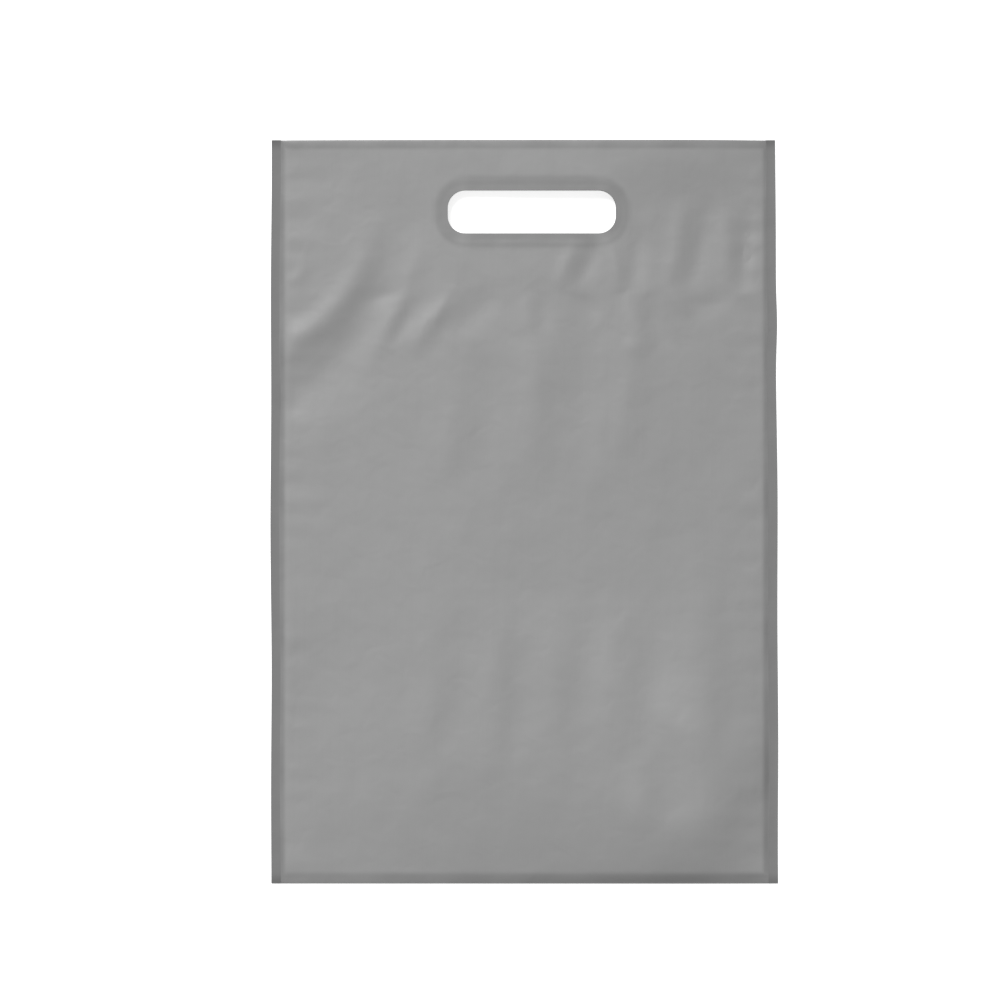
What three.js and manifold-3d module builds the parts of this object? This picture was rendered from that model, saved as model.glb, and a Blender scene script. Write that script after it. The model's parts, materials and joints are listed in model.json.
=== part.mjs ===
// A flat plastic carrier bag with a punched hand slot, in millimetres, lying on its back.
// X runs across the bag, Y from its folded bottom to its open top, and Z up from the surface it lies on.
// The bag is one sheet of film, folded at the bottom, turned in at the top and welded down both sides.
import * as THREE from "three";
import { mergeVertices } from "three/addons/utils/BufferGeometryUtils.js";
import Module from "manifold-3d";

// Driving dimensions
const BAG_WIDTH = 241;
const BAG_HEIGHT = 354;
const FILM = 0.06; // gauge of the film
const PANELS_APART = 9; // how far the front panel stands off the back one in the middle
const BOTTOM_SLOPE = 75; // length over which the front panel comes down to the bottom fold
const FOLD_SPACE = 0.3; // space left inside the bottom fold
const HEM_DEPTH = 70; // film turned in at the mouth, doubling it around the hand slot
const HEM_SPACE = 0.3; // space between a panel and its turned-in hem
const HEM_EASE = 10; // length over which the front panel climbs onto the hems
const WELD_WIDTH = 4; // welded strip down each side
const WELD_BEAD = 0.08; // how much thicker a weld is than the layers that run into it
const WELD_NIP = 0.05; // space left between the layers where they run into a weld
const WELD_OVERLAP = 0.5; // length of film that a weld swallows at its inner edge
const SLOT_WIDTH = 80;
const SLOT_HEIGHT = 20.5;
const SLOT_CORNER = 8.3;
const SLOT_DROP = 24; // film above the slot
const SLOT_OFFSET = 3.7; // the slot is punched this far right of the middle
const SLOT_RIM = 4; // width of the pressed rim that bonds panel and hem around the slot
const RIM_BEAD = 0.05; // how far a rim stands proud of the film
const FLAT_MARGIN = 4; // flat film kept outside the rims

// Fineness of the curved stretches
const SIDE_STEPS = 9;
const BOTTOM_STEPS = 9;
const EASE_STEPS = 4;
const FOLD_STEPS = 4;
const SLOT_STEPS = 8;
const SAME_POINT = 1e-4; // corners nearer than this are one corner
const PUNCH_OVERRUN = 1; // how far the punch runs past the film on both sides

const FILM_GREY = 0x9b9b9b;

// Places that follow from the dimensions
const top = BAG_HEIGHT / 2;
const bottom = -BAG_HEIGHT / 2;
const hemEdge = top - HEM_DEPTH;
const weldInner = BAG_WIDTH / 2 - WELD_WIDTH;
const slotMiddle = top - SLOT_DROP - SLOT_HEIGHT / 2;
const flatHalf = SLOT_WIDTH / 2 + Math.abs(SLOT_OFFSET) + SLOT_RIM + FLAT_MARGIN;
const nippedLayer = FILM + WELD_NIP;

const wasm = await Module();
wasm.setup();

// Runs from 0 to 1 as t does, level at both ends.
function ease(t) {
  return (1 - Math.cos(Math.PI * THREE.MathUtils.clamp(t, 0, 1))) / 2;
}

// Runs from 0 to 1 as t does, rising steeply at first and levelling off, as slack film does from a weld.
function swell(t) {
  return Math.sin((Math.PI / 2) * THREE.MathUtils.clamp(t, 0, 1));
}

// Runs from 0 at the welds to 1 over the flat middle that holds the slot.
function sideRise(x) {
  return swell((weldInner - Math.abs(x)) / (weldInner - flatHalf));
}

// Height of the front panel's inner face. It clears the two hems and comes down to the welds and the fold.
function frontHeight(x, y) {
  const hems = 2 * nippedLayer * ease((y - hemEdge + HEM_EASE) / HEM_EASE);
  const gap = FOLD_SPACE + PANELS_APART * swell((y - bottom) / BOTTOM_SLOPE);
  return nippedLayer + hems + gap * sideRise(x);
}

function hemSpace(x) {
  return THREE.MathUtils.lerp(WELD_NIP, HEM_SPACE, sideRise(x));
}

// Evenly spaced values, both ends included.
function spaced(from, to, steps) {
  return Array.from({ length: steps + 1 }, (_, i) => THREE.MathUtils.lerp(from, to, i / steps));
}

// Points of an arc in the (y, z) plane, both ends included, with angles in half turns.
function arc(y, z, radius, from, to) {
  return spaced(from * Math.PI, to * Math.PI, FOLD_STEPS).map(
    (angle) => new THREE.Vector2(y + radius * Math.cos(angle), z + radius * Math.sin(angle)),
  );
}

// Places up the front panel at which its slope changes, between the bottom fold and the top fold.
function frontRows() {
  const slope = spaced(bottom, bottom + BOTTOM_SLOPE, BOTTOM_STEPS).slice(1);
  const climb = spaced(hemEdge - HEM_EASE, hemEdge, EASE_STEPS);
  return [...slope, ...climb];
}

// Outline of the folded film, cut across at x: out along the outside face, and back along the inside face.
function filmSection(x) {
  const space = hemSpace(x);
  const foldRadius = (frontHeight(x, bottom) + FILM) / 2;
  const hemRadius = FILM + space / 2;
  const hemFold = top - hemRadius;
  const frontHemMiddle = frontHeight(x, top) - space / 2;
  const backHemMiddle = FILM + space / 2;
  const front = (lift) => frontRows().map((y) => new THREE.Vector2(y, frontHeight(x, y) + lift));
  const outside = [
    new THREE.Vector2(hemEdge, frontHemMiddle - hemRadius),
    ...arc(hemFold, frontHemMiddle, hemRadius, -0.5, 0.5),
    ...front(FILM).reverse(),
    ...arc(bottom + foldRadius, foldRadius, foldRadius, 0.5, 1.5),
    ...arc(hemFold, backHemMiddle, hemRadius, -0.5, 0.5),
    new THREE.Vector2(hemEdge, backHemMiddle + hemRadius),
  ];
  const inside = [
    new THREE.Vector2(hemEdge, backHemMiddle + space / 2),
    ...arc(hemFold, backHemMiddle, space / 2, 0.5, -0.5),
    ...arc(bottom + foldRadius, foldRadius, foldRadius - FILM, 1.5, 0.5),
    ...front(0),
    ...arc(hemFold, frontHemMiddle, space / 2, 0.5, -0.5),
    new THREE.Vector2(hemEdge, frontHemMiddle - space / 2),
  ];
  return [...outside, ...inside];
}

// Stations across the bag, close together where the film comes down to the welds.
function stations() {
  const right = spaced(flatHalf, weldInner, SIDE_STEPS);
  return [...right.map((x) => -x).reverse(), ...right];
}

// The sheet of film from weld to weld, as a loft through its sections.
function foldedFilm() {
  const sections = stations().map((x) => filmSection(x).map((p) => new THREE.Vector3(x, p.x, p.y)));
  const count = sections[0].length;
  const faces = [];
  for (let s = 0; s + 1 < sections.length; s++) {
    for (let i = 0; i < count; i++) {
      const a = s * count + i;
      const b = s * count + ((i + 1) % count);
      faces.push(a, b, a + count, b, b + count, a + count);
    }
  }
  const lastSection = (sections.length - 1) * count;
  for (const [a, b, c] of THREE.ShapeUtils.triangulateShape(filmSection(weldInner), [])) {
    faces.push(a, c, b, lastSection + a, lastSection + b, lastSection + c);
  }
  return new THREE.BufferGeometry().setFromPoints(sections.flat()).setIndex(faces);
}

// One welded strip: so many layers of film, melted together between two heights up the bag.
function weldStrip(side, layers, low, high) {
  const thick = layers * FILM + (layers - 1) * WELD_NIP + WELD_BEAD;
  const width = WELD_WIDTH + WELD_OVERLAP;
  const x = side * (BAG_WIDTH / 2 - width / 2);
  return new THREE.BoxGeometry(width, high - low, thick).translate(x, (low + high) / 2, thick / 2);
}

// A rounded slot, grown outwards all round, as an upright prism between two heights.
function slotPrism(grow, low, high) {
  const w = SLOT_WIDTH / 2 + grow;
  const h = SLOT_HEIGHT / 2 + grow;
  const r = SLOT_CORNER + grow;
  const outline = new THREE.Shape()
    .absarc(w - r, h - r, r, 0, Math.PI / 2)
    .absarc(r - w, h - r, r, Math.PI / 2, Math.PI)
    .absarc(r - w, r - h, r, Math.PI, 1.5 * Math.PI)
    .absarc(w - r, r - h, r, 1.5 * Math.PI, 2 * Math.PI);
  const options = { depth: high - low, bevelEnabled: false, curveSegments: SLOT_STEPS };
  return new THREE.ExtrudeGeometry(outline, options).translate(SLOT_OFFSET, slotMiddle, low);
}

// A closed geometry as a solid that can be joined and cut.
function solidOf(geometry) {
  const bare = geometry.clone().deleteAttribute("normal").deleteAttribute("uv");
  const merged = mergeVertices(bare, SAME_POINT);
  return new wasm.Manifold(
    new wasm.Mesh({
      numProp: 3,
      vertProperties: merged.attributes.position.array,
      triVerts: new Uint32Array(merged.index.array),
    }),
  );
}

function geometryOf(solid) {
  const mesh = solid.getMesh();
  const geometry = new THREE.BufferGeometry();
  geometry.setAttribute("position", new THREE.BufferAttribute(mesh.vertProperties, 3));
  geometry.setIndex(new THREE.BufferAttribute(mesh.triVerts, 1));
  geometry.computeVertexNormals();
  return geometry;
}

// The whole bag: the folded film, its four stretches of weld and its two rims, with the slot punched last.
function bagGeometry() {
  const hemStack = 2 * FILM + HEM_SPACE;
  const frontFace = frontHeight(0, slotMiddle) + FILM;
  const joined = [
    weldStrip(-1, 2, bottom, hemEdge),
    weldStrip(-1, 4, hemEdge, top),
    weldStrip(1, 2, bottom, hemEdge),
    weldStrip(1, 4, hemEdge, top),
    slotPrism(SLOT_RIM, 0, hemStack + RIM_BEAD),
    slotPrism(SLOT_RIM, frontFace - hemStack - RIM_BEAD, frontFace + RIM_BEAD),
  ];
  const bag = joined.reduce((made, piece) => made.add(solidOf(piece)), solidOf(foldedFilm()));
  return geometryOf(bag.subtract(solidOf(slotPrism(0, -PUNCH_OVERRUN, frontFace + PUNCH_OVERRUN))));
}

const film = new THREE.MeshStandardMaterial({ color: FILM_GREY, roughness: 0.45, metalness: 0 });
const bag = new THREE.Mesh(bagGeometry(), film);
bag.name = "bag";

const part = new THREE.Group();
part.add(bag);

export default part;
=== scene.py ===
# %% [markdown]
# # A flat plastic carrier bag with a punched hand slot
#
# The real bag is one long sheet of grey polythene film. A machine folds the sheet in half at the bottom, turns
# both of its ends in at the mouth, welds the two sides with a hot bar, and punches the hand slot through all
# four layers. The lesson makes the bag in that order: fold, crease, give the film its gauge, weld, punch.

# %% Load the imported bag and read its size
import json
import math

import bpy
import numpy as np
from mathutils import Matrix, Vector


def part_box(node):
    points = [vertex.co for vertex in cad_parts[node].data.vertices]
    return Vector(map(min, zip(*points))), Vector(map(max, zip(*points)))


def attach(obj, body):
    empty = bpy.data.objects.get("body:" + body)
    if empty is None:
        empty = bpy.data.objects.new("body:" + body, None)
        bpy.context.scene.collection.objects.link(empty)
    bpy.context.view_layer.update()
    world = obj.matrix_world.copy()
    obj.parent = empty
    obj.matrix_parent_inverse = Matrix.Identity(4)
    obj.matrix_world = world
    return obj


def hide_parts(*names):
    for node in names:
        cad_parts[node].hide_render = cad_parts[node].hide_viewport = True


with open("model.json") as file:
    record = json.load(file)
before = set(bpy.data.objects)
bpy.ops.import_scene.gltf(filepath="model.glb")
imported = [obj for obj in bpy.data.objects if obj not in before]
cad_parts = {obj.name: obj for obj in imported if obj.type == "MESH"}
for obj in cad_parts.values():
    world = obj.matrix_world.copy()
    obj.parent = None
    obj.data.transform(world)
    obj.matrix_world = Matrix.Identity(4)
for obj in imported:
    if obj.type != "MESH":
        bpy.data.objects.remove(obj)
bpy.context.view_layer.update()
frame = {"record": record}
bag_low, bag_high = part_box("bag")
MM = 0.001  # shapes are worked out in millimetres, and Blender's unit is the metre
WIDTH = (bag_high.x - bag_low.x) / MM
HEIGHT = (bag_high.y - bag_low.y) / MM
print(f"The bag is {WIDTH:.0f} by {HEIGHT:.0f} mm and lies {bag_high.z / MM:.1f} mm deep")

# %% [markdown]
# ## The camera
#
# A limp bag can't stand, so it lies on a table and the camera looks straight down on it. A long lens from high
# up keeps its sides parallel. The lens follows from how much of the picture's width the bag takes up, so the
# framing holds whatever the bag measures.

# %% Hang the camera over the bag
BAG_SHARE = 0.506  # of the picture's width
BAG_MIDDLE = (0.5240, 0.5118)  # shares of the picture, from its left and from its top
CAMERA_HEIGHT = 4.0
SENSOR_WIDTH = 36.0

scene = bpy.context.scene
picture_width = WIDTH * MM / BAG_SHARE
camera = bpy.data.objects.new("camera", bpy.data.cameras.new("camera"))
camera.data.sensor_width = SENSOR_WIDTH
camera.data.lens = SENSOR_WIDTH * CAMERA_HEIGHT / picture_width
camera.location.x = (0.5 - BAG_MIDDLE[0]) * picture_width
camera.location.y = (BAG_MIDDLE[1] - 0.5) * picture_width
camera.location.z = CAMERA_HEIGHT
scene.collection.objects.link(camera)
scene.camera = camera
print(f"A {camera.data.lens:.0f} mm lens shows {picture_width / MM:.0f} mm across")

# %% [markdown]
# ## Building node trees in a script
#
# Finishes and Geometry Nodes are both trees of nodes, so a few helpers serve for all of them. `add` makes one
# node and fills its inputs, with numbers or with the outputs of other nodes. `maths` is the node used most.

# %% Helpers for node trees
def add(tree, kind, inputs=None, **settings):
    """Adds a node. Inputs are given by name or by number, as a value or as another node's output."""
    node = tree.nodes.new(kind)
    for name, value in settings.items():
        setattr(node, name, value)
    for name, value in (inputs or {}).items():
        if isinstance(value, bpy.types.NodeSocket):
            tree.links.new(value, node.inputs[name])
        else:
            node.inputs[name].default_value = value
    return node


def maths(tree, operation, *values):
    """The output of one Math node."""
    return add(tree, "ShaderNodeMath", dict(enumerate(values)), operation=operation).outputs[0]


def group_tree(name, kind, takes, gives):
    """An empty node group with named sockets, its input node and its output node."""
    tree = bpy.data.node_groups.new(name, kind)
    for label, socket in takes.items():
        tree.interface.new_socket(label, in_out="INPUT", socket_type=socket)
    for label, socket in gives.items():
        tree.interface.new_socket(label, in_out="OUTPUT", socket_type=socket)
    return tree, tree.nodes.new("NodeGroupInput"), tree.nodes.new("NodeGroupOutput")


# %% [markdown]
# ## The table and the light
#
# A big soft box, beyond the top of the bag and a little to the left, is what makes creases show: slopes that
# face it are paler, and slopes that face away are darker. It hangs far off, so its light is even over the bag.
# The world fills in the rest. The table is white and catches the bag's shadow. What the camera itself sees of
# it gets a little glow, so that it reads as clean white without more light on the bag.

# %% Lay the table and hang the lights
TABLE_SIZE = 12.0
TABLE_WHITE = (0.82, 0.82, 0.82, 1.0)
TABLE_GLOW = 0.75
TABLE_DROP = 0.0004  # the table lies this far below the film, so that their faces don't fight
WORLD_LEVEL = 0.38
KEY_PLACE = (-8.1, 15.3, 16.8)
KEY_SIZE = 9.0
KEY_POWER = 5450.0


def seen_directly(tree):
    """1 where the camera sees a surface, straight or in a reflection, and 0 where only light reaches it."""
    path = add(tree, "ShaderNodeLightPath")
    glossy = maths(tree, "MAXIMUM", path.outputs["Is Glossy Ray"], path.outputs["Is Transmission Ray"])
    return maths(tree, "MAXIMUM", path.outputs["Is Camera Ray"], glossy)


def table_finish():
    """White paint, with a glow that only shows."""
    material = bpy.data.materials.new("white_table")
    material.use_nodes = True
    tree = material.node_tree
    tree.nodes.clear()
    paint = add(tree, "ShaderNodeBsdfDiffuse", {"Color": TABLE_WHITE})
    shown = maths(tree, "MULTIPLY", seen_directly(tree), TABLE_GLOW)
    glow = add(tree, "ShaderNodeEmission", {"Strength": shown})
    both = add(tree, "ShaderNodeAddShader", {0: paint.outputs[0], 1: glow.outputs[0]})
    add(tree, "ShaderNodeOutputMaterial", {"Surface": both.outputs[0]})
    return material


half = TABLE_SIZE / 2
corners = [(-half, -half), (half, -half), (half, half), (-half, half)]
table_mesh = bpy.data.meshes.new("table")
table_mesh.from_pydata([(*corner, -TABLE_DROP) for corner in corners], [], [(0, 1, 2, 3)])
table_mesh.materials.append(table_finish())
table = bpy.data.objects.new("table", table_mesh)
scene.collection.objects.link(table)

key = bpy.data.objects.new("key_light", bpy.data.lights.new("key_light", "AREA"))
key.data.size = KEY_SIZE
key.data.energy = KEY_POWER
key.location = KEY_PLACE
key.rotation_euler = (-key.location).to_track_quat("-Z", "Y").to_euler()
scene.collection.objects.link(key)

world = bpy.data.worlds.new("studio")
world.use_nodes = True
scene.world = world
sky = world.node_tree
sky.nodes.clear()
white_share = maths(sky, "MULTIPLY", seen_directly(sky), 1.0 - WORLD_LEVEL)
sky_light = add(sky, "ShaderNodeBackground", {"Strength": maths(sky, "ADD", white_share, WORLD_LEVEL)})
add(sky, "ShaderNodeOutputWorld", {"Surface": sky_light.outputs[0]})
scene.view_settings.view_transform = "Standard"
print(f"One soft box of {KEY_SIZE} m at {KEY_PLACE}, world at {WORLD_LEVEL}")

# %% [markdown]
# ## How blown film looks close to
#
# Polythene film is pulled up from a ring-shaped die as a bubble, so faint lines run along it, and its haze is
# a little blotchy. Both finishes of the bag need this, so it is one group: it gives a tint to multiply the
# colour by, a shift of the gloss, and a height for a Bump node. It reads Object coordinates, in metres.

# %% A node group for blown film
LINE_WIDTH = 0.9 * MM  # spacing of the lines that the die leaves
LINE_LENGTH = 90 * MM
LINE_DETAIL = 3.0
LINE_GLOSS = 0.08  # how far the lines shift the gloss
BLOTCH_SIZE = 16 * MM
BLOTCH_DETAIL = 4.0
BLOTCH_DISTORTION = 0.6
BLOTCH_GLOSS = 0.16
NOISE_MIDDLE = 0.5


def blown_film_group():
    takes = {
        "Place": "NodeSocketVector",
        "Line tint": "NodeSocketFloat",
        "Blotch tint": "NodeSocketFloat",
    }
    gives = {"Tint": "NodeSocketFloat", "Gloss shift": "NodeSocketFloat", "Height": "NodeSocketFloat"}
    tree, given, out = group_tree("blown_film", "ShaderNodeTree", takes, gives)
    place = given.outputs["Place"]
    along = (1 / LINE_WIDTH, 1 / LINE_LENGTH, 1 / LINE_LENGTH)
    stretched = add(tree, "ShaderNodeVectorMath", {0: place, 1: along}, operation="MULTIPLY")
    lines = add(tree, "ShaderNodeTexNoise", {
        "Vector": stretched.outputs[0],
        "Scale": 1.0,
        "Detail": LINE_DETAIL,
    })
    blotches = add(tree, "ShaderNodeTexNoise", {
        "Vector": place,
        "Scale": 1 / BLOTCH_SIZE,
        "Detail": BLOTCH_DETAIL,
        "Distortion": BLOTCH_DISTORTION,
    })
    line = maths(tree, "SUBTRACT", lines.outputs[0], NOISE_MIDDLE)
    blotch = maths(tree, "SUBTRACT", blotches.outputs[0], NOISE_MIDDLE)
    line_part = maths(tree, "MULTIPLY", line, given.outputs["Line tint"])
    tint = maths(tree, "MULTIPLY_ADD", blotch, given.outputs["Blotch tint"], line_part)
    line_gloss = maths(tree, "MULTIPLY", line, LINE_GLOSS)
    gloss = maths(tree, "MULTIPLY_ADD", blotch, BLOTCH_GLOSS, line_gloss)
    tree.links.new(maths(tree, "ADD", tint, 1.0), out.inputs["Tint"])
    tree.links.new(gloss, out.inputs["Gloss shift"])
    tree.links.new(line, out.inputs["Height"])
    return tree


blown_film = blown_film_group()
print(f"Group {blown_film.name}: lines {LINE_WIDTH / MM} mm apart, blotches {BLOTCH_SIZE / MM} mm wide")

# %% [markdown]
# ## The two finishes
#
# The film is a mid grey with a satin sheen. Where heat or a press has squeezed its layers together, it is
# clearer and so looks darker, and it is a little glossier. The same darkening also paints shade along the
# welds and the two folds and into the bottom right corner. The film finish reads how hard each point was
# pressed, with that painted shade, from an attribute named `pressed`, which is worked out further down. The
# weld itself is pressed all over, and also darkened as painted shade along the edge, so it has a finish of
# its own that shares the group, and it is darkest at its two ends, which paints shade into the bag's corners.

# %% Film and weld finishes
FILM_GREY = (0.305, 0.305, 0.305, 1.0)
# the darker grey below is pressed film, and also painted shade along the welds, the folds and the bottom right
# corner
PRESS_AND_SHADE_GREY = (0.200, 0.200, 0.200, 1.0)
# the weld is darker from fused film and partly as painted shade along the edge; its ends get painted shade, in
# the bag's corners
WELD_GREY = (0.200, 0.200, 0.200, 1.0)
WELD_END_SHADE_GREY = (0.140, 0.140, 0.140, 1.0)
FILM_ROUGHNESS = 0.50
WELD_ROUGHNESS = 0.42
PRESSED_GLOSS = 0.08  # pressing makes film this much less rough
FILM_MARKS = {"line_tint": 0.03, "blotch_tint": 0.05, "crinkle_height": 0.22 * MM}
WELD_MARKS = {"line_tint": 0.02, "blotch_tint": 0.10, "crinkle_height": 0.06 * MM}
CRINKLE_SIZE = 9 * MM
CRINKLE_DETAIL = 1.0
CRINKLE_DISTORTION = 0.4
LINE_RELIEF = 0.06  # height of the die's lines, as a share of the crinkles' height
# painted shade: a weld is darker over this stretch at each end, in the bag's corners
WELD_END_SHADE = 6 * MM  # the darker stretch at each end of a weld

# numbers of the sockets of a Mix node for colours, whose names are not unique
MIX_SHARE = 0
MIX_FIRST = 6
MIX_SECOND = 7
MIX_RESULT = 2


def film_finish(
    name, grey, dark_grey_of_press_and_shade, roughness, line_tint, blotch_tint, crinkle_height, shade_at_ends=False
):
    """A finish of blown film. It is darker where the attribute says, from pressing and from painted shade; a
    weld's finish is darker at its two ends instead, which is painted shade in the bag's corners.
    """
    material = bpy.data.materials.new(name)
    material.use_nodes = True
    tree = material.node_tree
    shader = tree.nodes["Principled BSDF"]
    place = add(tree, "ShaderNodeTexCoord").outputs["Object"]
    if shade_at_ends:
        # painted shade: a weld darkens towards both ends, into the bag's corners
        up = maths(tree, "ABSOLUTE", add(tree, "ShaderNodeSeparateXYZ", {0: place}).outputs["Y"])
        ends = {"Value": up, "From Min": HEIGHT * MM / 2 - WELD_END_SHADE, "From Max": HEIGHT * MM / 2}
        pressed = add(tree, "ShaderNodeMapRange", ends, interpolation_type="SMOOTHSTEP").outputs[0]
    else:
        # pressing, and painted shade along the welds, the folds and the bottom right corner
        pressed = add(tree, "ShaderNodeAttribute", attribute_name="pressed").outputs["Fac"]
    film = add(tree, "ShaderNodeGroup", node_tree=blown_film)
    tree.links.new(place, film.inputs["Place"])
    film.inputs["Line tint"].default_value = line_tint
    film.inputs["Blotch tint"].default_value = blotch_tint
    greys = {MIX_SHARE: pressed, MIX_FIRST: grey, MIX_SECOND: dark_grey_of_press_and_shade}
    grey_after_press_and_shade = add(tree, "ShaderNodeMix", greys, data_type="RGBA").outputs[MIX_RESULT]
    tinted = {MIX_SHARE: 1.0, MIX_FIRST: grey_after_press_and_shade, MIX_SECOND: film.outputs["Tint"]}
    colour = add(tree, "ShaderNodeMix", tinted, data_type="RGBA", blend_type="MULTIPLY")
    tree.links.new(colour.outputs[MIX_RESULT], shader.inputs["Base Color"])
    matt = maths(tree, "ADD", film.outputs["Gloss shift"], roughness)
    matt = maths(tree, "MULTIPLY_ADD", pressed, -PRESSED_GLOSS, matt)
    tree.links.new(matt, shader.inputs["Roughness"])
    crinkles = add(tree, "ShaderNodeTexNoise", {
        "Vector": place,
        "Scale": 1 / CRINKLE_SIZE,
        "Detail": CRINKLE_DETAIL,
        "Distortion": CRINKLE_DISTORTION,
    })
    height = maths(tree, "MULTIPLY_ADD", film.outputs["Height"], LINE_RELIEF, crinkles.outputs[0])
    bump = add(tree, "ShaderNodeBump", {"Height": height, "Strength": 1.0, "Distance": crinkle_height})
    tree.links.new(bump.outputs[0], shader.inputs["Normal"])
    return material


film_material = film_finish("grey_film", FILM_GREY, PRESS_AND_SHADE_GREY, FILM_ROUGHNESS, **FILM_MARKS)
weld_material = film_finish(
    "welded_film", WELD_GREY, WELD_END_SHADE_GREY, WELD_ROUGHNESS, **WELD_MARKS, shade_at_ends=True
)
print(f"Finishes: {film_material.name} and {weld_material.name}")

# %% [markdown]
# ## The bag's sizes and the shape of its slack
#
# The back panel lies on the table. The front panel rises from the welds and from the bottom fold, as slack film
# does, and levels off over the middle. It is easiest to give its height by a formula of where a point is across
# and up the bag, and the other layers follow from it: each hem lies just under or over its panel.

# %% Sizes of the film, the hems and the slot, in millimetres
FILM = 0.06
WELD_WIDTH = 4.0
WELD_OVERLAP = 0.5  # the weld swallows this much film
LAYER_NIP = 0.11  # from one layer to the next where they run into a weld
HEM_DEPTH = 70.0
HEM_GAP = 0.36  # from a panel to its hem, away from the welds
HEM_GAP_REACH = 60.0
HEM_STEP = 0.08  # the front panel stands this much higher over its hem
HEM_LEDGE = 6.0  # and comes down off the hem's wavy edge over this length
HEM_WAVES = [(1.5, 7.0, 0.0), (1.0, 3.7, 1.0)]  # height, length and start of each wave of that edge
SLOT_WIDTH = 80.0
SLOT_HEIGHT = 20.5
SLOT_CORNER = 8.3
SLOT_RIM = 4.4
RIM_PRESS = 0.12  # how deep the ring around the slot is pressed
RIM_EDGE = 1.6  # and over what length

slot_edge = next(m for m in frame["record"]["mounts"] if m["name"] == "slot_bearing_edge")
SLOT_X = slot_edge["pos_m"][0] / MM
SLOT_Y = slot_edge["pos_m"][1] / MM - SLOT_HEIGHT / 2
top = HEIGHT / 2
bottom = -HEIGHT / 2
hem_edge = top - HEM_DEPTH
weld_inner = WIDTH / 2 - WELD_WIDTH
print(f"Slot {SLOT_WIDTH} by {SLOT_HEIGHT} mm, {SLOT_X:.1f} mm right of the middle")

# %% Rules that the slopes of film follow
KNEE = 1.8  # how soon a slope eases off
ROLL = 5.0  # film rolls up quickly from a weld or the bottom fold over this length


def ease(t):
    """From 0 to 1, level at both ends."""
    return (1 - np.cos(np.pi * np.clip(t, 0, 1))) / 2


def growth(place, start, length):
    """From 0 at the start to 1 after the length."""
    return ease((place - start) / length)


def knee(t):
    """From 0 to 1 along a slope that eases off towards its top."""
    return 1 - (1 - np.clip(t, 0, 1)) ** KNEE


def hill(x, middle, reach):
    return np.exp(-(((x - middle) / reach) ** 2))


def waves(place, parts):
    """A sum of waves, each with its height, length and start."""
    return sum(high * np.sin(place / length + start) for high, length, start in parts)


def rise_from(distance, roll_share, slope):
    """From 0 to 1: a share is gained in the quick roll, and the rest along the slope."""
    return roll_share * knee(distance / ROLL) + (1 - roll_share) * knee(distance / slope)


print(f"Film rolls up over {ROLL} mm and slopes on, {knee(0.5):.0%} of its rise in half the length")

# %% How the slack is shared out over the front panel
CROWN = 7.4  # how far the slack front panel stands off the back one
MOUTH_SHARE = 0.75  # of the crown, at the mouth
MOUTH_START = 40.0  # the crown starts to come down to that here
LEFT_ROLL = 0.10  # share of the crown that is gained in the roll
RIGHT_ROLL = 0.03
BOTTOM_ROLL = 0.10
BOTTOM_ROLL_MORE = 0.05  # and this much more right of the middle
ROLL_MORE_PLACE = (60.0, 30.0)  # a place across the bag, and the reach around it
LEFT_SLOPE = 190.0  # the rest of the crown is gained over this length
RIGHT_SLOPE = 150.0
RIGHT_SLOPE_LOW = 33.0  # and over this one in the lower half
RIGHT_SLOPE_TOP = 75.0  # and over this one in the top corner
LOW_CHANGE = (-125.0, 95.0)  # where up the bag the right slope starts to change, and over what length
TOP_CHANGE = (125.0, 45.0)
BOTTOM_SLOPE = 62.0
BOTTOM_LONGER = 26.0  # the bottom slope is this much longer on the left
LONGER_PLACE = (-90.0, 32.0)
BOTTOM_SHORTER = 31.0  # and this much shorter on the right
SHORTER_PLACE = (74.0, 33.0)
MOUTH_FLARE = 1.4  # the mouth turns up this much on the right
FLARE_UP = (150.0, 25.0)  # where up the bag that starts, and over what length
FLARE_ACROSS = (15.0, 75.0)


def slack(x, y):
    """How far the front panel stands off the stack of film at the welds."""
    right_slope = RIGHT_SLOPE_LOW + (RIGHT_SLOPE - RIGHT_SLOPE_LOW) * growth(y, *LOW_CHANGE)
    right_slope = right_slope + (RIGHT_SLOPE_TOP - RIGHT_SLOPE) * growth(y, *TOP_CHANGE)
    longer = BOTTOM_LONGER * hill(x, *LONGER_PLACE)
    shorter = BOTTOM_SHORTER * hill(x, *SHORTER_PLACE)
    bottom_roll = BOTTOM_ROLL + BOTTOM_ROLL_MORE * hill(x, *ROLL_MORE_PLACE)
    from_left = rise_from(weld_inner + x, LEFT_ROLL, LEFT_SLOPE)
    from_right = rise_from(weld_inner - x, RIGHT_ROLL, right_slope)
    from_bottom = rise_from(y - bottom, bottom_roll, BOTTOM_SLOPE + longer - shorter)
    mouth = 1 - (1 - MOUTH_SHARE) * growth(y, MOUTH_START, top - MOUTH_START)
    flare = MOUTH_FLARE * growth(y, *FLARE_UP) * growth(x, *FLARE_ACROSS)
    return CROWN * from_left * from_right * (from_bottom * mouth + flare / CROWN)


print(f"The front panel stands {slack(0, 0):.1f} mm off the back one in the middle")

# %% The height of each layer
TOP_ROLL = 0.35  # how far the top edge rolls down
TOP_ROLL_LENGTH = 4.0
BACK_LIFT = 0.25
FREE_FROM_WELD = 9.0  # film is free to buckle this far from what holds it


def off_slot(x, y):
    """Distance outside the slot's edge, and below zero inside it."""
    across = np.abs(x - SLOT_X) - (SLOT_WIDTH / 2 - SLOT_CORNER)
    along = np.abs(y - SLOT_Y) - (SLOT_HEIGHT / 2 - SLOT_CORNER)
    outside = np.hypot(np.maximum(across, 0), np.maximum(along, 0))
    return outside + np.minimum(np.maximum(across, along), 0) - SLOT_CORNER


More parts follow.
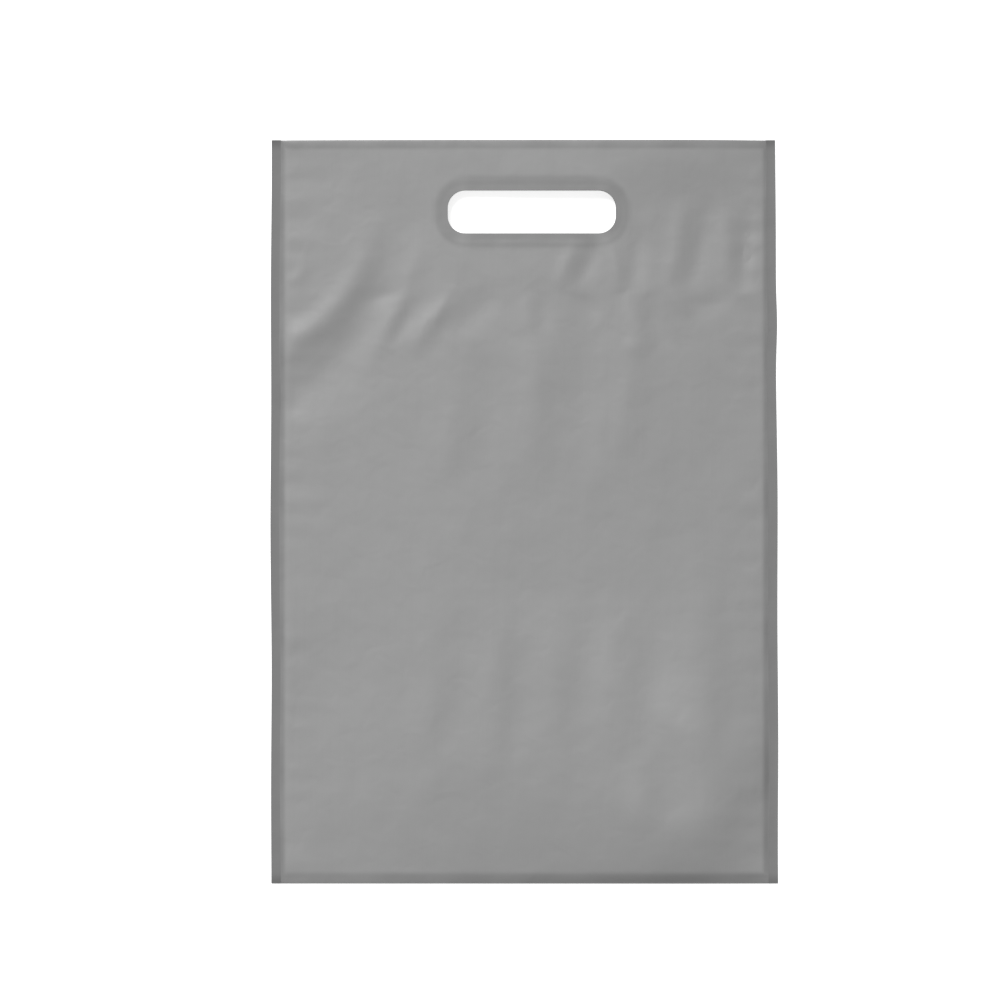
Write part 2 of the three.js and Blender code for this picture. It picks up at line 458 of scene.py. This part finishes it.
def freedom(x, y):
    """0 where a weld or the bottom fold holds the film, 1 where it is free to buckle."""
    return knee((weld_inner - np.abs(x)) / FREE_FROM_WELD) * knee((y - bottom) / FREE_FROM_WELD)


def over_hem(x, y):
    """1 where the hem lies under the front panel, 0 below the hem's edge, which is not quite straight."""
    edge = hem_edge - HEM_LEDGE / 2 + waves(x, HEM_WAVES)
    return ease((y - edge) / HEM_LEDGE + 0.5)


def front_height(x, y):
    """Middle of the front panel's film above the table. Three more layers lie below it at the welds."""
    step = HEM_STEP * over_hem(x, y)
    rim = RIM_PRESS * ease((SLOT_RIM - off_slot(x, y)) / RIM_EDGE)
    roll = TOP_ROLL * (1 - knee((top - y) / TOP_ROLL_LENGTH))
    return FILM / 2 + 3 * LAYER_NIP + slack(x, y) + freedom(x, y) * (step - rim - roll)


def back_height(x, y):
    return FILM / 2 + BACK_LIFT * freedom(x, y)


def hem_gap(x):
    return LAYER_NIP + (HEM_GAP - LAYER_NIP) * knee((weld_inner - np.abs(x)) / HEM_GAP_REACH)


print(f"Middle of the bag: back {back_height(0, 0):.2f} mm and front {front_height(0, 0):.2f} mm up")

# %% [markdown]
# ## Folding the sheet
#
# The whole sheet is one grid of points. Its rows run along the film: up the front hem, over the top, down the
# front panel, round the bottom fold, up the back panel, over the top and down the back hem. Its columns run
# across the bag. Rows and columns lie closer together where something small has to show.

# %% Rows and columns of the sheet
FINE = 0.95
CREASED = 1.5
MIDDLING = 2.35
COARSE = 4.5
FOLD_STEPS = 4
FOLD_START = 0.2  # a fold begins this far from its edge
BESIDE_WELD = 9.0  # widths of the bands that have closer rows or columns
BESIDE_SLOT = 6.0
INTO_SLOT = 9.0
BELOW_TOP = 6.0
RIPPLES = 18.0
ABOVE_HEM_EDGE = 2.0
BELOW_HEM_EDGE = 8.0
BUCKLES = 48.0
ABOVE_BOTTOM = 7.0
BACK_FOLD = 4.0


def spaced(*stops):
    """Places from the first stop to the last. Each stop is a place and the spacing that follows it."""
    places = [np.array([stops[0][0]])]
    for (start, step), (end, _) in zip(stops, stops[1:]):
        count = max(2, math.ceil(abs(end - start) / step) + 1)
        places.append(np.linspace(start, end, count)[1:])
    return np.concatenate(places)


film_edge = weld_inner + WELD_OVERLAP
slot_left = SLOT_X - SLOT_WIDTH / 2
slot_right = SLOT_X + SLOT_WIDTH / 2
columns = spaced(
    (-film_edge, FINE), (-film_edge + BESIDE_WELD, MIDDLING),
    (slot_left - BESIDE_SLOT, FINE), (slot_left + INTO_SLOT, MIDDLING),
    (slot_right - INTO_SLOT, FINE), (slot_right + BESIDE_SLOT, MIDDLING),
    (film_edge - BESIDE_WELD, FINE), (film_edge, FINE),
)
slot_top = SLOT_Y + SLOT_HEIGHT / 2
slot_bottom = SLOT_Y - SLOT_HEIGHT / 2
panel_rows = spaced(
    (top - FOLD_START, FINE), (top - BELOW_TOP, MIDDLING),
    (slot_top + BESIDE_SLOT, FINE), (slot_bottom - BESIDE_SLOT, MIDDLING),
    (hem_edge + RIPPLES, CREASED), (hem_edge + ABOVE_HEM_EDGE, FINE),
    (hem_edge - BELOW_HEM_EDGE, CREASED), (hem_edge - BUCKLES, MIDDLING),
    (bottom + ABOVE_BOTTOM, FINE), (bottom + FOLD_START, FINE),
)
hem_rows = spaced((hem_edge, MIDDLING), (top - FOLD_START, MIDDLING))
back_rows = spaced(
    (bottom + FOLD_START, FINE), (bottom + BACK_FOLD, COARSE), (top - FOLD_START, COARSE)
)
fold_turn = np.linspace(-np.pi / 2, np.pi / 2, FOLD_STEPS + 1)[1:-1]
print(f"{len(columns)} columns, {len(panel_rows)} rows on the front panel")

# %% Fold it
x, y = np.meshgrid(columns, panel_rows)
panel = np.stack([x, y, front_height(x, y)], axis=-1)

x, y = np.meshgrid(columns, hem_rows)
front_hem = np.stack([x, y, front_height(x, y) - hem_gap(x)], axis=-1)
back_hem = np.stack([x, y, back_height(x, y) + hem_gap(x)], axis=-1)[::-1]

x, y = np.meshgrid(columns, back_rows)
back = np.stack([x, y, back_height(x, y)], axis=-1)


def fold(first, last, bulge):
    """Rows of a half turn that joins two rows, standing out from them along the bag."""
    middle = (first + last) / 2
    reach = (last - first) / 2
    rows = []
    for angle in fold_turn:
        row = middle + reach * np.sin(angle)
        row[:, 1] += bulge * np.abs(reach[:, 2]) * np.cos(angle)
        rows.append(row)
    return np.array(rows)


sheet_rows = np.concatenate([
    front_hem, fold(front_hem[-1], panel[0], 1),
    panel, fold(panel[-1], back[0], -1),
    back, fold(back[-1], back_hem[0], 1), back_hem,
])
row_count, column_count, _ = sheet_rows.shape
front_row_count = len(front_hem) + len(fold_turn) + len(panel)
index = np.arange(row_count * column_count).reshape(row_count, column_count)
quads = np.stack([index[:-1, :-1], index[1:, :-1], index[1:, 1:], index[:-1, 1:]], axis=-1)
quads = quads.reshape(-1, 4)
sheet_mesh = bpy.data.meshes.new("bag_film")
sheet_mesh.from_pydata((sheet_rows.reshape(-1, 3) * MM).tolist(), [], quads.tolist())

free = freedom(sheet_rows[..., 0], sheet_rows[..., 1])
is_front = (np.arange(row_count) < front_row_count)[:, None]
for layer, share in {"front": free * is_front, "back": free * ~is_front}.items():
    sheet_mesh.attributes.new(layer, "FLOAT", "POINT").data.foreach_set("value", share.ravel())
sheet = bpy.data.objects.new("film_sheet", sheet_mesh)
scene.collection.objects.link(sheet)
print(f"The folded sheet has {len(quads)} faces")

# %% [markdown]
# ## Slack, waves and creases
#
# Film remembers how it was handled. A cloth simulation would give buckles somewhere, but not these ones, so
# the creases are placed one by one: each is a path drawn on the bag, and one Geometry Nodes tree presses or
# raises the film along it. The tree is used once for each crease, as a modifier with its own path, rise and
# reach.
# Rise fades towards the ends of the path, and fades away from it over the reach.

# %% Helpers for trees of geometry
def geometry_tree(name, takes):
    """A tree that changes a geometry, with more named inputs, and its input node."""
    geometry = {"Geometry": "NodeSocketGeometry"}
    tree, given, _ = group_tree(name, "GeometryNodeTree", {**geometry, **takes}, geometry)
    return tree, given


def end_tree(tree, geometry, finish):
    """Ends a tree of geometry: instances are made real and the finish is set."""
    plain = add(tree, "GeometryNodeRealizeInstances", {"Geometry": geometry})
    finished = add(tree, "GeometryNodeSetMaterial", {"Geometry": plain.outputs[0], "Material": finish})
    tree.links.new(finished.outputs[0], tree.nodes["Group Output"].inputs["Geometry"])


def offset_up(tree, given, height):
    """Moves every point up by a height, and ends the tree."""
    shift = add(tree, "ShaderNodeCombineXYZ", {"Z": height})
    lift = {"Geometry": given.outputs["Geometry"], "Offset": shift.outputs[0]}
    end_tree(tree, add(tree, "GeometryNodeSetPosition", lift).outputs[0], film_material)


def flat_place(tree):
    """A point's place across and up the bag, with no height."""
    place = add(tree, "GeometryNodeInputPosition").outputs[0]
    return add(tree, "ShaderNodeVectorMath", {0: place, 1: (1, 1, 0)}, operation="MULTIPLY").outputs[0]


def stored_share(tree, name):
    """A share that was stored on the points under a name."""
    share = add(tree, "GeometryNodeInputNamedAttribute", {"Name": name}, data_type="FLOAT")
    return share.outputs["Attribute"]


def use_tree(obj, tree, **values):
    """Adds the tree to an object as a modifier. Inputs are set by their sockets' identifiers."""
    modifier = obj.modifiers.new(tree.name, "NODES")
    modifier.node_group = tree
    for item in tree.interface.items_tree:
        label = item.name.lower()
        if item.in_out == "INPUT" and label in values:
            modifier[item.identifier] = values[label]


# %% A tree that creases film along a path
PATH_SAMPLES = 160


def crease_tree():
    tree, given = geometry_tree("crease_along_path", {
        "Path": "NodeSocketObject",
        "Rise": "NodeSocketFloat",
        "Reach": "NodeSocketFloat",
        "Softness": "NodeSocketFloat",
    })
    place = flat_place(tree)
    path = add(tree, "GeometryNodeObjectInfo", {"Object": given.outputs["Path"]}).outputs["Geometry"]
    curve = add(tree, "GeometryNodeResampleCurve", {"Curve": path, "Count": PATH_SAMPLES}).outputs[0]
    along = add(tree, "GeometryNodeSplineParameter").outputs["Factor"]
    swell_along = maths(tree, "SINE", maths(tree, "MULTIPLY", along, math.pi))
    stored = {"Geometry": curve, "Name": "fade", "Value": swell_along}
    faded = add(tree, "GeometryNodeStoreNamedAttribute", stored, data_type="FLOAT").outputs[0]
    line = add(tree, "GeometryNodeCurveToMesh", {"Curve": faded}).outputs[0]
    near = add(tree, "GeometryNodeProximity", {0: line, "Sample Position": place}, target_element="EDGES")
    nearest = add(tree, "GeometryNodeSampleNearest", {"Geometry": line, "Sample Position": place})
    fade = add(tree, "GeometryNodeSampleIndex", {
        "Geometry": line,
        "Value": stored_share(tree, "fade"),
        "Index": nearest.outputs[0],
    }, data_type="FLOAT").outputs[0]
    far = maths(tree, "DIVIDE", near.outputs["Distance"], given.outputs["Reach"])
    drop = maths(tree, "MULTIPLY", maths(tree, "POWER", far, given.outputs["Softness"]), -1.0)
    peak = maths(tree, "MULTIPLY", fade, given.outputs["Rise"])
    height = maths(tree, "MULTIPLY", maths(tree, "EXPONENT", drop), peak)
    offset_up(tree, given, maths(tree, "MULTIPLY", height, stored_share(tree, "front")))
    return tree


crease = crease_tree()
print(f"Tree {crease.name} has {len(crease.nodes)} nodes")

# %% [markdown]
# Between the creases the film isn't flat either. A second tree adds soft waves from a noise texture with a
# fixed seed, and a third puckers the film beside the welds, where the hot bar has shrunk it.

# %% Trees for waves and for puckers
OTHER_SIDE = 40.0  # sets the noise beside one weld apart from the noise beside the other


def wave_tree(layer):
    tree, given = geometry_tree(f"{layer}_waves", {
        "Height": "NodeSocketFloat",
        "Size": "NodeSocketVector",
        "Seed": "NodeSocketFloat",
    })
    spread = {0: flat_place(tree), 1: given.outputs["Size"]}
    noise = add(tree, "ShaderNodeTexNoise", {
        "Vector": add(tree, "ShaderNodeVectorMath", spread, operation="DIVIDE").outputs[0],
        "W": given.outputs["Seed"],
        "Scale": 1.0,
        "Detail": 1.0,
    }, noise_dimensions="4D")
    centred = maths(tree, "SUBTRACT", noise.outputs[0], NOISE_MIDDLE)
    height = maths(tree, "MULTIPLY", centred, maths(tree, "MULTIPLY", given.outputs["Height"], 2.0))
    offset_up(tree, given, maths(tree, "MULTIPLY", height, stored_share(tree, layer)))
    return tree


def pucker_tree():
    tree, given = geometry_tree("weld_puckers", {
        "Height": "NodeSocketFloat",
        "Pitch": "NodeSocketFloat",
        "Reach": "NodeSocketFloat",
        "Weld": "NodeSocketFloat",
        "Seed": "NodeSocketFloat",
    })
    across, up, _ = add(tree, "ShaderNodeSeparateXYZ", {0: flat_place(tree)}).outputs
    from_weld = maths(tree, "SUBTRACT", given.outputs["Weld"], maths(tree, "ABSOLUTE", across))
    far = maths(tree, "DIVIDE", from_weld, given.outputs["Reach"])
    fade = maths(tree, "EXPONENT", maths(tree, "SUBTRACT", 1.0, far))
    side = maths(tree, "MULTIPLY_ADD", maths(tree, "SIGN", across), OTHER_SIDE, given.outputs["Seed"])
    noise = add(tree, "ShaderNodeTexNoise", {
        "W": maths(tree, "ADD", maths(tree, "DIVIDE", up, given.outputs["Pitch"]), side),
        "Scale": 1.0,
        "Detail": 0.0,
    }, noise_dimensions="1D")
    centred = maths(tree, "SUBTRACT", noise.outputs[0], NOISE_MIDDLE)
    ripple = maths(tree, "MULTIPLY", centred, given.outputs["Height"])
    height = maths(tree, "MULTIPLY", ripple, maths(tree, "MULTIPLY", far, fade))
    offset_up(tree, given, maths(tree, "MULTIPLY", height, stored_share(tree, "front")))
    return tree


front_waves = wave_tree("front")
back_waves = wave_tree("back")
puckers = pucker_tree()
use_tree(sheet, front_waves, height=0.75 * MM, size=(52 * MM, 75 * MM, 1.0), seed=3.0)
use_tree(sheet, front_waves, height=0.36 * MM, size=(17 * MM, 22 * MM, 1.0), seed=8.0)
use_tree(sheet, back_waves, height=0.2 * MM, size=(40 * MM, 55 * MM, 1.0), seed=5.0)
use_tree(sheet, puckers, height=0.7 * MM, pitch=9 * MM, reach=5 * MM, weld=weld_inner * MM, seed=2.0)
print(f"{len(sheet.modifiers)} trees of waves and puckers on the sheet")

# %% [markdown]
# The paths of the creases are points on the bag in millimetres, across from its middle and up from its middle.
# A crest and a hollow side by side make one fold: its lit flank, its shaded flank, and the next lit one.

# %% Press the creases
CREASES = [
    # rise, reach, softness, points of the path
    # the long fold that sweeps in from the left edge, and its two followers
    (1.60, 6.2, 1.9, [(-136, 69), (-119, 75), (-102, 86), (-92, 95), (-84, 105), (-77, 117), (-73, 140)]),
    (-1.35, 8.6, 1.9, [(-136, 44), (-119, 52), (-100, 63), (-87, 76), (-77, 90), (-71, 103), (-64, 138)]),
    (-0.50, 9.0, 2.0, [(-112, 46), (-92, 58), (-77, 74), (-67, 90)]),
    (-0.40, 3.6, 1.8, [(-78, 98), (-70, 102), (-61, 105), (-55, 112)]),
    (0.80, 4.5, 1.7, [(-80, 62), (-71, 76), (-64, 88), (-58, 100), (-54, 114), (-46, 132)]),
    (-0.80, 3.8, 1.7, [(-64, 78), (-57, 90), (-51, 102)]),
    # the short fold beside them
    (1.15, 4.6, 1.7, [(-55, 75), (-45, 89), (-38, 99), (-32, 108)]),
    (-0.95, 7.0, 1.8, [(-36, 82), (-27, 91), (-19, 100), (-13, 110)]),
    # a nick by the left edge
    (0.55, 3.4, 1.7, [(-112, 108), (-107, 113), (-102, 119)]),
    # ripples that run up from the hem's edge on the right
    (0.90, 4.0, 1.7, [(25, 130), (21, 119), (16, 105)]),
    (-0.90, 4.2, 1.7, [(35, 130), (30.5, 118), (25, 104)]),
    (0.90, 4.2, 1.7, [(40, 133), (42.5, 122), (46, 104)]),
    (-0.90, 4.2, 1.7, [(53, 136), (53, 122), (52, 104)]),
    (0.95, 4.8, 1.7, [(77, 151), (74, 138), (72.5, 122), (67, 103)]),
    (-1.00, 4.8, 1.7, [(90, 151), (86, 138), (83.5, 122), (77, 103)]),
    (0.90, 4.3, 1.7, [(99, 150), (97, 135), (97, 120), (98, 104)]),
    (-0.95, 4.3, 1.7, [(107, 144), (106, 130), (105, 118), (104, 104)]),
    # buckles below the hem's edge, where it stops holding the film out
    (0.50, 4.0, 1.8, [(2, 105), (2, 96), (2, 84)]),
    (-0.60, 4.0, 1.8, [(9, 105), (9.5, 96), (10, 84)]),
    (-0.65, 4.6, 1.8, [(24, 106), (30, 99), (37, 92)]),
    (0.70, 3.8, 1.8, [(50, 105), (52, 92), (60, 76)]),
    (-0.80, 4.0, 1.8, [(60, 105), (61.5, 92), (70, 77)]),
    (0.60, 3.4, 1.8, [(67, 106), (74, 100), (79, 92)]),
    (-0.55, 4.4, 1.8, [(75, 105), (84, 98), (92, 99), (101, 104)]),
    (0.50, 4.0, 1.8, [(48, 83), (53, 78), (58, 73)]),
    # long soft flutes in the upper half
    (0.68, 8.0, 2.0, [(-34, 78), (-35, 50), (-36, 10)]),
    (-0.52, 8.0, 2.0, [(-16, 95), (-16, 60), (-15, 15)]),
    (0.83, 8.0, 2.0, [(5, 105), (5, 65), (4, 10)]),
    (-0.68, 8.0, 2.0, [(28, 95), (28, 60), (26, 15)]),
    (0.83, 8.0, 2.0, [(49, 92), (49, 62), (47, 15)]),
    # and in the lower half
    (0.61, 8.5, 2.0, [(-43, -40), (-45, -85), (-46, -120)]),
    (-0.48, 8.0, 2.0, [(-29, -45), (-29.5, -85), (-31, -125)]),
    (0.54, 8.0, 2.0, [(-13, -40), (-14, -85), (-15, -130)]),
    (-0.44, 7.5, 2.0, [(-3, -45), (-3, -85), (-4, -120)]),
    (0.61, 8.5, 2.0, [(14, -40), (14, -85), (13, -125)]),
    (-0.48, 8.0, 2.0, [(29, -45), (28.5, -85), (28, -115)]),
    (0.61, 8.5, 2.0, [(43, -40), (43, -85), (42, -115)]),
    (-0.48, 8.0, 2.0, [(60, -45), (60, -85), (59, -110)]),
    (1.30, 12.0, 2.0, [(84, -10), (83, -60), (84, -110), (87, -160)]),
    (0.75, 7.0, 2.0, [(54, -112), (56, -132), (57, -154)]),
    (-0.30, 6.5, 2.0, [(66, -116), (68, -134), (68, -152)]),
    # the dull patch low on the left
    (-1.20, 20.0, 2.0, [(-98, -45), (-92, -90), (-88, -135)]),
]


def draw_path(number, points):
    curve = bpy.data.curves.new(f"crease_{number}", "CURVE")
    spline = curve.splines.new("BEZIER")
    spline.bezier_points.add(len(points) - 1)
    for knot, (across, up) in zip(spline.bezier_points, points):
        knot.co = (across * MM, up * MM, 0)
        knot.handle_left_type = "AUTO"
        knot.handle_right_type = "AUTO"
    path = bpy.data.objects.new(curve.name, curve)
    scene.collection.objects.link(path)
    return path


paths = []
for rise, reach, softness, points in CREASES:
    paths.append(draw_path(len(paths), points))
    use_tree(sheet, crease, path=paths[-1], rise=rise * MM, reach=reach * MM, softness=softness)


def as_made(obj):
    """The object's mesh with its modifiers worked out."""
    depsgraph = bpy.context.evaluated_depsgraph_get()
    return bpy.data.meshes.new_from_object(obj.evaluated_get(depsgraph))


creased = as_made(sheet)
sheet.modifiers.clear()
sheet.data = creased
for path in paths:
    bpy.data.objects.remove(path)
heights = np.array([v.co.z for v in creased.vertices]) / MM
print(f"{len(paths)} creases pressed; the film now lies from {heights.min():.2f} to {heights.max():.2f} mm")

# %% [markdown]
# ## The outline
#
# A bag's edges are never quite straight. The right edge leans out a little towards the bottom, and has a small
# bulge below the hem. Every layer is moved sideways by the same amount at a given height, and the further from
# the centre line the more, so the layers stay together and the slot stays put.

# %% Ease the edges out of true
RIGHT_LEAN = 0.85  # the right edge is this far in at the top, and as far out at the bottom
BULGE = 0.7
BULGE_Y = 89.0
BULGE_LENGTH = 14.0
EDGE_WOBBLE = 0.18
SHORT_WOBBLE = 19.0
LONG_WOBBLE = 43.0
PULL_POWER = 4  # the higher, the less the middle of the bag moves


def edge_shift(side, y):
    """How far an edge is out of true, at a height up the bag."""
    wobble = waves(y, [(EDGE_WOBBLE, SHORT_WOBBLE, side), (EDGE_WOBBLE, LONG_WOBBLE, 2 * side)])
    if side < 0:
        return wobble
    return wobble - RIGHT_LEAN * y / top + BULGE * hill(y, BULGE_Y, BULGE_LENGTH)


def out_of_true(points):
    """Moves points, in millimetres, with the outline."""
    pull = np.clip(np.abs(points[:, 0]) / (WIDTH / 2), 0, 1) ** PULL_POWER
    shift = np.where(points[:, 0] < 0, edge_shift(-1, points[:, 1]), edge_shift(1, points[:, 1]))
    points[:, 0] += pull * shift
    return points


def mesh_points(mesh):
    points = np.empty(len(mesh.vertices) * 3)
    mesh.vertices.foreach_get("co", points)
    return points.reshape(-1, 3) / MM


def set_mesh_points(mesh, points):
    mesh.vertices.foreach_set("co", (points * MM).ravel())
    mesh.update()


set_mesh_points(creased, out_of_true(mesh_points(creased)))
print(f"Right edge: {edge_shift(1, top):+.2f} mm at the top, {edge_shift(1, bottom):+.2f} mm at the bottom")

# %% [markdown]
# ## Giving the film its gauge
#
# Real film has two faces and an edge. The Solidify modifier thickens the sheet about its middle and closes the
# rim. The result is made a plain mesh at once, because the next steps cut and join it as a solid.

# %% Thicken the sheet
gauge = sheet.modifiers.new("gauge", "SOLIDIFY")
gauge.thickness = FILM * MM
gauge.offset = 0
sheet.data = as_made(sheet)
sheet.modifiers.clear()
print(f"The film is {FILM} mm thick, with {len(sheet.data.polygons)} faces")

# %% [markdown]
# ## The side welds
#
# A hot bar melts the layers into one strip down each side, and the cut leaves a small round bead at the edge.
# A strip that follows an edge is a job for Geometry Nodes: a section is swept along the edge's path. The
# section is drawn once. The left path runs down and the right one runs up, which keeps the bead outside on both.

# %% Draw the weld's section and its paths
WELD_THICKNESS = 0.46
BEAD_RADIUS = 0.25
BEAD_STEPS = 8
PATH_STEP = 3.0


def curve_object(name, points, closed):
    curve = bpy.data.curves.new(name, "CURVE")
    curve.dimensions = "3D"
    spline = curve.splines.new("POLY")
    spline.points.add(len(points) - 1)
    for knot, point in zip(spline.points, points):
        knot.co = (*(value * MM for value in point), 1)
    spline.use_cyclic_u = closed
    obj = bpy.data.objects.new(name, curve)
    scene.collection.objects.link(obj)
    return obj


strip_half = (WELD_WIDTH + WELD_OVERLAP) / 2
flank = math.asin(WELD_THICKNESS / 2 / BEAD_RADIUS)
bead_centre = strip_half - BEAD_RADIUS
bead = [
    (bead_centre + BEAD_RADIUS * math.cos(a), BEAD_RADIUS * math.sin(a), 0)
    for a in np.linspace(flank - math.pi, math.pi - flank, BEAD_STEPS)
]
section = curve_object(
    "weld_section",
    [(-strip_half, WELD_THICKNESS / 2, 0), (-strip_half, -WELD_THICKNESS / 2, 0), *bead],
    closed=True,
)
edge_rows = np.linspace(bottom, top, math.ceil(HEIGHT / PATH_STEP) + 1)
weld_paths = {}
for side in (-1, 1):
    across = np.full_like(edge_rows, side * (WIDTH / 2 - strip_half))
    track = np.stack([across, edge_rows, np.full_like(edge_rows, BEAD_RADIUS)], axis=1)
    name = "weld_path_left" if side < 0 else "weld_path_right"
    weld_paths[side] = curve_object(name, out_of_true(track)[::side].tolist(), closed=False)
print(f"A weld {WELD_WIDTH} mm wide follows {len(edge_rows)} points down each side")

# %% Sweep the welds
def weld_tree():
    takes = {"Section": "NodeSocketObject", "Finish": "NodeSocketMaterial"}
    tree, given = geometry_tree("weld_strip", takes)
    level = add(tree, "GeometryNodeSetCurveNormal", {"Curve": given.outputs["Geometry"]}, mode="Z_UP")
    profile = add(tree, "GeometryNodeObjectInfo", {"Object": given.outputs["Section"]}).outputs["Geometry"]
    swept = add(tree, "GeometryNodeCurveToMesh", {
        "Curve": level.outputs[0],
        "Profile Curve": profile,
        "Fill Caps": True,
    })
    end_tree(tree, swept.outputs[0], given.outputs["Finish"])
    return tree


strip_tree = weld_tree()
welds = []
for side, path in weld_paths.items():
    use_tree(path, strip_tree, section=section, finish=weld_material)
    weld = bpy.data.objects.new(f"weld_{side}", as_made(path))
    scene.collection.objects.link(weld)
    bpy.data.objects.remove(path)
    welds.append(weld)
bpy.data.objects.remove(section)
print("Welds:", [len(weld.data.polygons) for weld in welds], "faces")

# %% [markdown]
# ## Joining and punching
#
# The welds are joined to the film, and the slot is punched through all four layers at once, as the die does it.
# Boolean modifiers with the Manifold solver do both, and leave one closed solid.

# %% Join the welds and punch the slot
SLOT_STEPS = 14
PUNCH_REACH = 30.0


def slot_punch():
    """A closed prism of the slot's outline, longer than the bag is deep."""
    turns = [np.linspace(q * np.pi / 2, (q + 1) * np.pi / 2, SLOT_STEPS) for q in range(4)]
    signs = [(1, 1), (-1, 1), (-1, -1), (1, -1)]
    outline = []
    for (sx, sy), turn in zip(signs, turns):
        centre_x = SLOT_X + sx * (SLOT_WIDTH / 2 - SLOT_CORNER)
        centre_y = SLOT_Y + sy * (SLOT_HEIGHT / 2 - SLOT_CORNER)
        corner_x = centre_x + SLOT_CORNER * np.cos(turn)
        corner_y = centre_y + SLOT_CORNER * np.sin(turn)
        outline += list(zip(corner_x, corner_y))
    count = len(outline)
    points = [(px, py, z) for z in (-PUNCH_REACH, PUNCH_REACH) for px, py in outline]
    sides = [(i, (i + 1) % count, count + (i + 1) % count, count + i) for i in range(count)]
    mesh = bpy.data.meshes.new("slot_punch")
    caps = [tuple(range(count))[::-1], tuple(range(count, 2 * count))]
    mesh.from_pydata([tuple(v * MM for v in p) for p in points], [], [*sides, *caps])
    mesh.materials.append(film_material)
    obj = bpy.data.objects.new("slot_punch", mesh)
    scene.collection.objects.link(obj)
    return obj


punch = slot_punch()
for tool, operation in [(welds[0], "UNION"), (welds[1], "UNION"), (punch, "DIFFERENCE")]:
    step = sheet.modifiers.new(tool.name, "BOOLEAN")
    step.object = tool
    step.operation = operation
    step.solver = "MANIFOLD"
    step.material_mode = "TRANSFER"
bag_mesh = as_made(sheet)
for tool in (*welds, punch, sheet):
    bpy.data.objects.remove(tool)
bag_mesh.name = "bag"
bag = bpy.data.objects.new("plastic_bag", bag_mesh)
scene.collection.objects.link(bag)
print(f"One bag of {len(bag_mesh.polygons)} faces, finishes {[m.name for m in bag_mesh.materials]}")

# %% [markdown]
# ## Where the film is pressed, and where shade is painted
#
# The finish darkens where layers are squeezed together, and where shade is painted: a little way in from each
# weld, along the bottom fold, more towards its right corner, and along the top fold, which is pressed film and
# painted shade together, and in the ring around the slot that holds panel and hem together. That is a formula of
# where a point is, so it is worked out for each point of the finished mesh and stored for the finish to read.

# %% Store how hard each point is pressed, and its painted shade
# the weld, bottom and top bands are pressed film and also painted shade along the edges and folds
WELD_PRESS_AND_SHADE = (0.80, 1.2, 2.6)  # how hard, how wide, and over how much more it fades, in millimetres
BOTTOM_PRESS_AND_SHADE = (0.60, 3.6, 2.8)
TOP_PRESS_AND_SHADE = (0.62, 3.0, 2.2)
RIM_BAND = (0.48, 5.6, 2.8)
CORNER_SHADE = 0.5  # painted shade: the bottom fold darkens this much more towards its right corner
CORNER_SHADE_ACROSS = (70.0, 45.0)  # where across the bag that starts, and over what length
END_NARROWING = 0.8  # the ring is this much narrower at the slot's two ends
CORNER_EASING = 0.4  # and this much less pressed around its corners
SLOT_TURN = (27.0, 12.0)  # where from the slot's middle its ends start, and over what length
UNEVEN = [(0.10, 5.3, 0.0), (0.08, 9.7, 1.0)]  # height, length and start of each wave
SHARP_ANGLE = math.radians(50)


def press_and_shade_band(distance, hard, wide, fade):
    return hard * ease(1 - (distance - wide) / fade)


def unevenly(place):
    """Varies slowly along an edge, around 1."""
    return 1 + waves(place, UNEVEN)


points = mesh_points(bag_mesh)
x, y = points[:, 0], points[:, 1]
slot_end = growth(np.abs(x - SLOT_X), *SLOT_TURN)
slot_corner = 4 * slot_end * (1 - slot_end)
# painted shade: the bottom fold darkens more towards the bag's right corner
shade_towards_corner = 1 + CORNER_SHADE * growth(x, *CORNER_SHADE_ACROSS)
bands = [
    press_and_shade_band(weld_inner - np.abs(x), *WELD_PRESS_AND_SHADE) * unevenly(y),
    press_and_shade_band(y - bottom, *BOTTOM_PRESS_AND_SHADE) * unevenly(x) * shade_towards_corner,
    press_and_shade_band(top - y, *TOP_PRESS_AND_SHADE) * unevenly(x),
    press_and_shade_band(off_slot(x, y) + END_NARROWING * slot_end, *RIM_BAND) * (1 - CORNER_EASING * slot_corner),
]
# one mask of pressing and of painted shade along the welds, the folds and the bottom right corner
pressed = np.clip(np.maximum.reduce(bands), 0, 1)
bag_mesh.attributes.new("pressed", "FLOAT", "POINT").data.foreach_set("value", pressed)
bag_mesh.shade_smooth()
bag_mesh.set_sharp_from_angle(angle=SHARP_ANGLE)
print(f"{(pressed > 0.5).mean():.0%} of the points are pressed hard")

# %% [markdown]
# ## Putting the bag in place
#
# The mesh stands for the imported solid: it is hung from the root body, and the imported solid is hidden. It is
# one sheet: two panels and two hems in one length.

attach(bag, "root")
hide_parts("bag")
